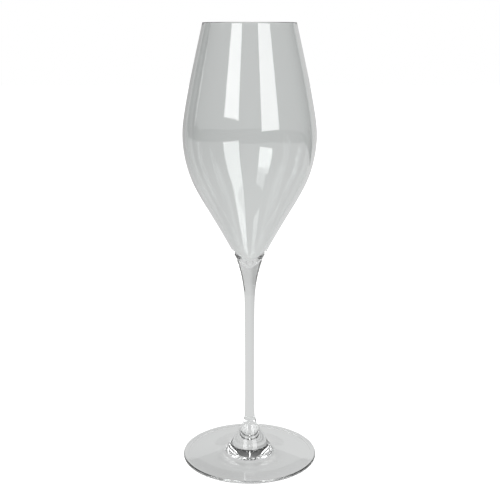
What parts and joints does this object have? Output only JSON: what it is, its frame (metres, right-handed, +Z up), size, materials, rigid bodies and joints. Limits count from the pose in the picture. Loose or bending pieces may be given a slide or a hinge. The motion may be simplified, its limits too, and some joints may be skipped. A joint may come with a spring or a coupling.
{
  "type": "champagne flute",
  "caption": "Clear tulip champagne flute: an open bowl that narrows towards the rim, on a slim drawn stem fused to a thin round foot.",
  "frame": {"origin": "centre of the plane that the foot rests on", "axes": "+Z up the axis of the stem, out of the bowl's mouth; X and Y are any two square directions, as the object is round"},
  "size_m": [0.0766, 0.0766, 0.245],
  "materials": {
    "crystal_glass": "clear, fire-polished"
  },
  "bodies": {
    "root": {"bowl": "crystal_glass", "stem": "crystal_glass", "foot": "crystal_glass"}
  },
  "joints": []
}
